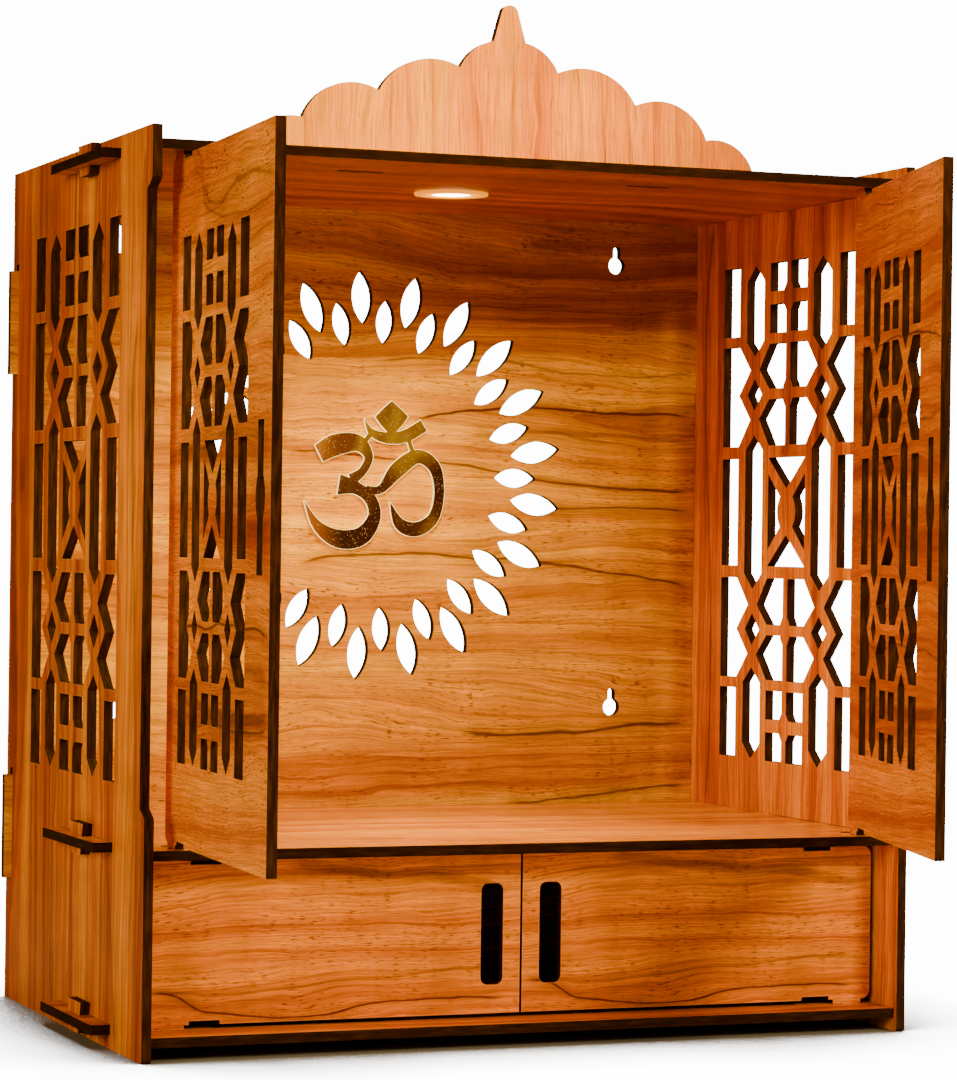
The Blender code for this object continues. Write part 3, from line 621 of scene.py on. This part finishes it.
# Gold mirror acrylic, laser cut: the polished face's colour is a painted reflection of the dim room in
# olive and brown, with glitter in its back, and the cut edge has a painted glow all round
goldAcrylic = {
    "face": ((0.30, "#341604"), (0.42, "#4c2804"), (0.52, "#6a4a04"), (0.62, "#86680a"),
             (0.75, "#5c3006")),
    "cloud": (34, 34, 22),      # per metre, so patches of 30 mm, 45 mm high
    "rise": (0.275, 0.365, -0.19, 0.11),        # painted reflection, darker to brighter between two heights in metres
    "tip": "#a8601c",           # painted reflection of the open door, warmer towards the left tips
    "tipReach": (-0.046, -0.02, 0.8, 0.0),
    "rim": "#ffe9a4", "rimWidth": 0.8, "rimGlow": 1.2,
    "glintSpeck": "#ffe6b0",
    "speckSize": 0.7,           # flakes of 0.3 mm are drawn 0.7 wide, or they would not show
    "metallic": 0.5, "roughness": 0.2,
}


def makeGold():
    material, tree = newMaterial("gold mirror acrylic")
    place = addNode(tree, "TexCoord", {}, {})
    part = addNode(tree, "SeparateXYZ", {}, {"Vector": place.outputs["Object"]})
    # Painted reflection of the dim room: cloudy, brighter higher up, warmer at the left tips
    cloud = addNode(tree, "Mapping", {}, {
        "Vector": place.outputs["Object"], "Scale": goldAcrylic["cloud"]})
    cloud = addNode(tree, "TexNoise", {}, {"Vector": cloud, "Scale": 1.0, "Detail": 2.0}).outputs["Fac"]
    rise = addNode(tree, "MapRange", {}, {"Value": part.outputs["Z"], **span(*goldAcrylic["rise"])})
    tone = addNode(tree, "Math", {"operation": "ADD"}, {0: cloud, 1: rise})
    colour = fillStops(addNode(tree, "ValToRGB", {}, {"Fac": tone}), goldAcrylic["face"])
    tip = addNode(tree, "MapRange", smoothly, {
        "Value": part.outputs["X"], **span(*goldAcrylic["tipReach"])})
    colour = addNode(tree, "MixRGB", {}, {
        "Fac": tip, "Color1": colour, "Color2": linear(goldAcrylic["tip"])})

    # A few flakes of the glitter catch the light, drawn as painted glints
    flakes = addNode(tree, "TexVoronoi", {}, {
        "Vector": place.outputs["Object"], "Scale": 1 / (goldAcrylic["speckSize"] * mm)})
    chance = addNode(tree, "SeparateColor", {}, {"Color": flakes.outputs["Color"]}).outputs["Red"]
    chosen = addNode(tree, "MapRange", {}, {"Value": chance, **span(0.82, 0.94, 0.0, 0.9)})
    flake = addNode(tree, "MapRange", {}, {
        "Value": flakes.outputs["Distance"], **span(0.15, 0.4, 1.0, 0.0)})
    glintSpeck = addNode(tree, "Math", {"operation": "MULTIPLY"}, {0: chosen, 1: flake})
    colour = addNode(tree, "MixRGB", {}, {
        "Fac": glintSpeck, "Color1": colour, "Color2": linear(goldAcrylic["glintSpeck"])})

    # Painted glow and pale colour on the cut edge and its rim on the face
    rim = findRim(tree, goldAcrylic["rimWidth"], 8, 0.88, 1.0)
    wall = findWalls(tree, place.outputs["Normal"], yAxis, 0.4, 0.7)
    edge = addNode(tree, "Math", {"operation": "MAXIMUM"}, {0: rim, 1: wall})
    colour = addNode(tree, "MixRGB", {}, {
        "Fac": edge, "Color1": colour, "Color2": linear(goldAcrylic["rim"])})
    metal = addNode(tree, "MapRange", {}, {
        "Value": edge, **span(0.0, 1.0, goldAcrylic["metallic"], 0.0)})
    glow = addNode(tree, "MapRange", {}, {
        "Value": edge, **span(0.0, 1.0, 0.0, goldAcrylic["rimGlow"])})
    bump = addNode(tree, "Bump", {}, {"Strength": 0.2, "Distance": 0.2 * mm, "Height": cloud})
    shader = addNode(tree, "BsdfPrincipled", {}, {
        "Base Color": colour, "Metallic": metal, "Roughness": goldAcrylic["roughness"], "Normal": bump,
        "Emission Color": linear(goldAcrylic["rim"]), "Emission Strength": glow})
    addNode(tree, "OutputMaterial", {}, {"Surface": shader})
    return material


# Downlight: spun metal bezel with a copper-toned satin lacquer, with a painted glow where the frosted
# diffuser washes it with light
downlight = {
    "spun": 900.0,              # grooves of about 1 mm
    "bezel": ((0.35, "#b87018"), (0.65, "#d08a2c")), "roughness": (0.28, 0.42), "tint": "#ff9a00",
    "wash": "#ff9c00", "washReach": (11, 20), "washStrength": (3.2, 1.3),
    "frost": 1500.0,            # frosting of about 0.7 mm
    "diffuser": ((0.3, "#f6ead2"), (0.7, "#fff8ea")), "glow": "#fff0d8", "glowStrength": 14.0,
}


def makeBezel():
    material, tree = newMaterial("satin copper bezel")
    place = addNode(tree, "TexCoord", {}, {}).outputs["Object"]
    spun = addNode(tree, "TexNoise", {}, {
        "Vector": place, "Scale": downlight["spun"], "Detail": 3.0}).outputs["Fac"]
    colour = fillStops(addNode(tree, "ValToRGB", {}, {"Fac": spun}), downlight["bezel"])
    rough = addNode(tree, "MapRange", {}, {"Value": spun, **span(0.3, 0.7, *downlight["roughness"])})
    low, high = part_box("light_bezel")
    # Painted light: the bezel glows most near the lens, as if washed by the diffuser
    away = addNode(tree, "VectorMath", {"operation": "DISTANCE"}, {0: place, 1: (low + high) / 2})
    near, far = downlight["washReach"]
    wash = addNode(tree, "MapRange", smoothly, {
        "Value": away, **span(near * mm, far * mm, *downlight["washStrength"])})
    bump = addNode(tree, "Bump", {}, {"Strength": 0.1, "Distance": 0.05 * mm, "Height": spun})
    shader = addNode(tree, "BsdfPrincipled", {}, {
        "Base Color": colour, "Metallic": 0.4, "Roughness": rough, "Normal": bump,
        "Specular Tint": linear(downlight["tint"]),
        "Emission Color": linear(downlight["wash"]), "Emission Strength": wash})
    addNode(tree, "OutputMaterial", {}, {"Surface": shader})
    return material


def makeLens():
    material, tree = newMaterial("frosted diffuser")
    place = addNode(tree, "TexCoord", {}, {}).outputs["Object"]
    frost = addNode(tree, "TexNoise", {}, {
        "Vector": place, "Scale": downlight["frost"], "Detail": 2.0}).outputs["Fac"]
    colour = fillStops(addNode(tree, "ValToRGB", {}, {"Fac": frost}), downlight["diffuser"])
    bump = addNode(tree, "Bump", {}, {"Strength": 0.15, "Distance": 0.05 * mm, "Height": frost})
    shader = addNode(tree, "BsdfPrincipled", {}, {
        "Base Color": colour, "Roughness": 0.4, "Normal": bump,
        "Emission Color": linear(downlight["glow"]), "Emission Strength": downlight["glowStrength"]})
    addNode(tree, "OutputMaterial", {}, {"Surface": shader})
    return material


makeEmblem(makeGold())
for name, finish in (("light_bezel", makeBezel()), ("light_lens", makeLens())):
    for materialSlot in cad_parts[name].material_slots:
        materialSlot.material = finish
print("emblem and light ready")


# Studio: floor that fades into a white surround, soft boxes, the cabinet's own warm light
studio = {
    "surround": 14.0, "ambient": 0.2, "ambientTint": "#ffc880",
    "floorSize": 3.0, "floorSteps": 13, "floorDrop": 0.0002,
    "floor": ((0.3, "#cfc4aa"), (0.7, "#d6cab0")), "floorGlow": 15.0, "floorFade": (0.7, 1.5),
    "contact": 0.17,            # reach in metres of the painted soft shadow where the cabinet stands
    "contactSpan": (0.58, 0.92), "contactShadowColour": "#66625c",
}


def makeFloor():
    # Flat square grid, x and y from -size to size
    size, steps = studio["floorSize"], studio["floorSteps"]
    line = np.linspace(-size, size, steps)
    x, y = np.meshgrid(line, line)
    points = np.stack([x.ravel(), y.ravel(), np.full(x.size, -studio["floorDrop"])], 1)
    corner = (np.arange(steps - 1)[:, None] * steps + np.arange(steps - 1)).ravel()
    faces = np.stack([corner, corner + 1, corner + 1 + steps, corner + steps], 1)
    mesh = bpy.data.meshes.new("floor")
    mesh.from_pydata(points.tolist(), [], faces.tolist())
    mesh.materials.append(makeFloorPaint())
    floor = bpy.data.objects.new("floor", mesh)
    bpy.context.scene.collection.objects.link(floor)


def makeFloorPaint():
    # Matt white paint that looks evenly lit but for the painted contact shadow, and fades out far away
    material, tree = newMaterial("white studio floor")
    place = addNode(tree, "TexCoord", {}, {}).outputs["Object"]
    grain = addNode(tree, "TexNoise", {}, {"Vector": place, "Scale": 6.0}).outputs["Fac"]
    colour = fillStops(addNode(tree, "ValToRGB", {}, {"Fac": grain}), studio["floor"])
    # Painted contact shadow: darker paint and less glow where the cabinet closes in over the floor
    clearance = addNode(tree, "AmbientOcclusion", {"samples": 8}, {"Distance": studio["contact"]})
    clearance = addNode(tree, "MapRange", smoothly, {
        "Value": clearance.outputs["AO"], **span(*studio["contactSpan"], 0.0, 1.0)})
    colour = addNode(tree, "MixRGB", {}, {
        "Fac": clearance, "Color1": linear(studio["contactShadowColour"]), "Color2": colour})
    ray = addNode(tree, "LightPath", {}, {}).outputs["Is Camera Ray"]
    glow = addNode(tree, "Math", {"operation": "MULTIPLY"}, {0: ray, 1: studio["floorGlow"]})
    glow = addNode(tree, "Math", {"operation": "MULTIPLY"}, {0: glow, 1: clearance})
    matt = addNode(tree, "BsdfPrincipled", {}, {
        "Base Color": colour, "Roughness": 0.9,
        "Emission Color": (1, 1, 1, 1), "Emission Strength": glow})
    clear = addNode(tree, "BsdfTransparent", {}, {})
    away = addNode(tree, "VectorMath", {"operation": "LENGTH"}, {0: place})
    fade = addNode(tree, "MapRange", smoothly, {"Value": away, **span(*studio["floorFade"], 0.0, 1.0)})
    both = addNode(tree, "MixShader", {}, {"Fac": fade, 1: matt, 2: clear})
    addNode(tree, "OutputMaterial", {}, {"Surface": both})
    return material


def makeSurround():
    world = bpy.data.worlds.new("white surround")
    bpy.context.scene.world = world
    world.use_nodes = True
    tree = world.node_tree
    tree.nodes.clear()
    ray = addNode(tree, "LightPath", {}, {}).outputs["Is Camera Ray"]
    strength = addNode(tree, "MapRange", {}, {
        "Value": ray, **span(0.0, 1.0, studio["ambient"], studio["surround"])})
    tint = addNode(tree, "MixRGB", {}, {
        "Fac": ray, "Color1": linear(studio["ambientTint"]), "Color2": (1, 1, 1, 1)})
    sky = addNode(tree, "Background", {}, {"Color": tint, "Strength": strength})
    addNode(tree, "OutputWorld", {}, {"Surface": sky})


# Soft boxes: place, aim, diameter in metres, power in watts and colour
softBoxes = {
    "soft box left": ((-2.4, -1.3, 1.0), (0, 0, 0.3), 1.2, 60, "#ffe0a0"),
    "soft box right": ((1.0, -2.1, 1.45), (-0.05, 0.1, 0.3), 0.8, 80, "#ffe4a8"),
    "soft box top": ((0.0, -0.4, 2.4), (0, 0, 0.3), 1.2, 24, "#ffe4a8"),
    "soft box back": ((0.8, 2.4, 1.5), (0, 0, 0.3), 1.2, 30, "#ffe4a8"),
}

# What the room throws past the open left door on to the back panel
doorFill = ((-0.185, -0.10, 0.33), (-0.15, 0.2, 0.33), 0.24, 0.21, "#fff4a0")
doorFillSpread = math.radians(80)

# Spots: cone in degrees, soft share of the cone, radius of the source, power and colour
spots = {
    "cabinet light": (118, 0.7, 0.011, 6.4, "#fff2a0"),
    "cabinet light pool": (54, 0.7, 0.011, 9.0, "#ffee98"),
    "crown light": (15, 0.6, 0.12, 180, "#ffeeb8"),
}
poolTilt = 0.28                 # metres towards the back for each metre down
crownLamp = (-0.1, -1.7, 1.0)


def addLamp(lamp, location, target, power, hexColour):
    lamp.energy, lamp.color = power, linear(hexColour)[:3]
    item = bpy.data.objects.new(lamp.name, lamp)
    item.location = location
    item.rotation_euler = (Vector(target) - item.location).to_track_quat("-Z", "Y").to_euler()
    bpy.context.scene.collection.objects.link(item)
    return item


def addSoftBox(name, location, target, diameter, power, hexColour):
    lamp = bpy.data.lights.new(name, "AREA")
    lamp.shape, lamp.size = "DISK", diameter
    return addLamp(lamp, location, target, power, hexColour)


def addSpot(name, location, target):
    cone, blend, radius, power, hexColour = spots[name]
    lamp = bpy.data.lights.new(name, "SPOT")
    lamp.spot_size, lamp.spot_blend, lamp.shadow_soft_size = math.radians(cone), blend, radius
    addLamp(lamp, location, target, power, hexColour)


makeFloor()
makeSurround()
for name, plan in softBoxes.items():
    addSoftBox(name, *plan)
fill = addSoftBox("light behind the left door", *doorFill)
fill.data.spread = doorFillSpread
fill.visible_camera = False

lensLow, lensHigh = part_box("light_lens")
crownLow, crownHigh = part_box("crown")
underLens = (lensLow + lensHigh) / 2
underLens.z = lensLow.z - 2 * mm
addSpot("cabinet light", underLens, underLens - Vector((0, 0, 1)))
addSpot("cabinet light pool", underLens, underLens - Vector((0, poolTilt, 1)))
addSpot("crown light", crownLamp, (crownLow + crownHigh) / 2 + Vector((0, 0, 0.03)))
print("studio ready")


# Camera of the photograph: place in metres, yaw to the right, pitch up and roll in degrees, lens in mm
view = {
    "place": (-0.7600, -1.8697, 0.2792), "yaw": 21.640, "pitch": 0.051, "roll": 0.733, "lens": 118.18,
}


def makeCamera():
    yaw, pitch, roll = (math.radians(view[key]) for key in ("yaw", "pitch", "roll"))
    forward = Vector((math.sin(yaw) * math.cos(pitch), math.cos(yaw) * math.cos(pitch), math.sin(pitch)))
    level = Vector((math.cos(yaw), -math.sin(yaw), 0))
    upright = level.cross(forward)
    right = level * math.cos(roll) + upright * math.sin(roll)
    up = upright * math.cos(roll) - level * math.sin(roll)
    lens = bpy.data.cameras.new("camera")
    lens.lens, lens.sensor_width = view["lens"], 36
    lens.clip_start, lens.clip_end = 0.05, 50
    camera = bpy.data.objects.new("camera", lens)
    axes = Matrix((right, up, -forward)).transposed().to_4x4()
    camera.matrix_world = Matrix.Translation(view["place"]) @ axes
    bpy.context.scene.collection.objects.link(camera)
    bpy.context.scene.camera = camera


makeCamera()
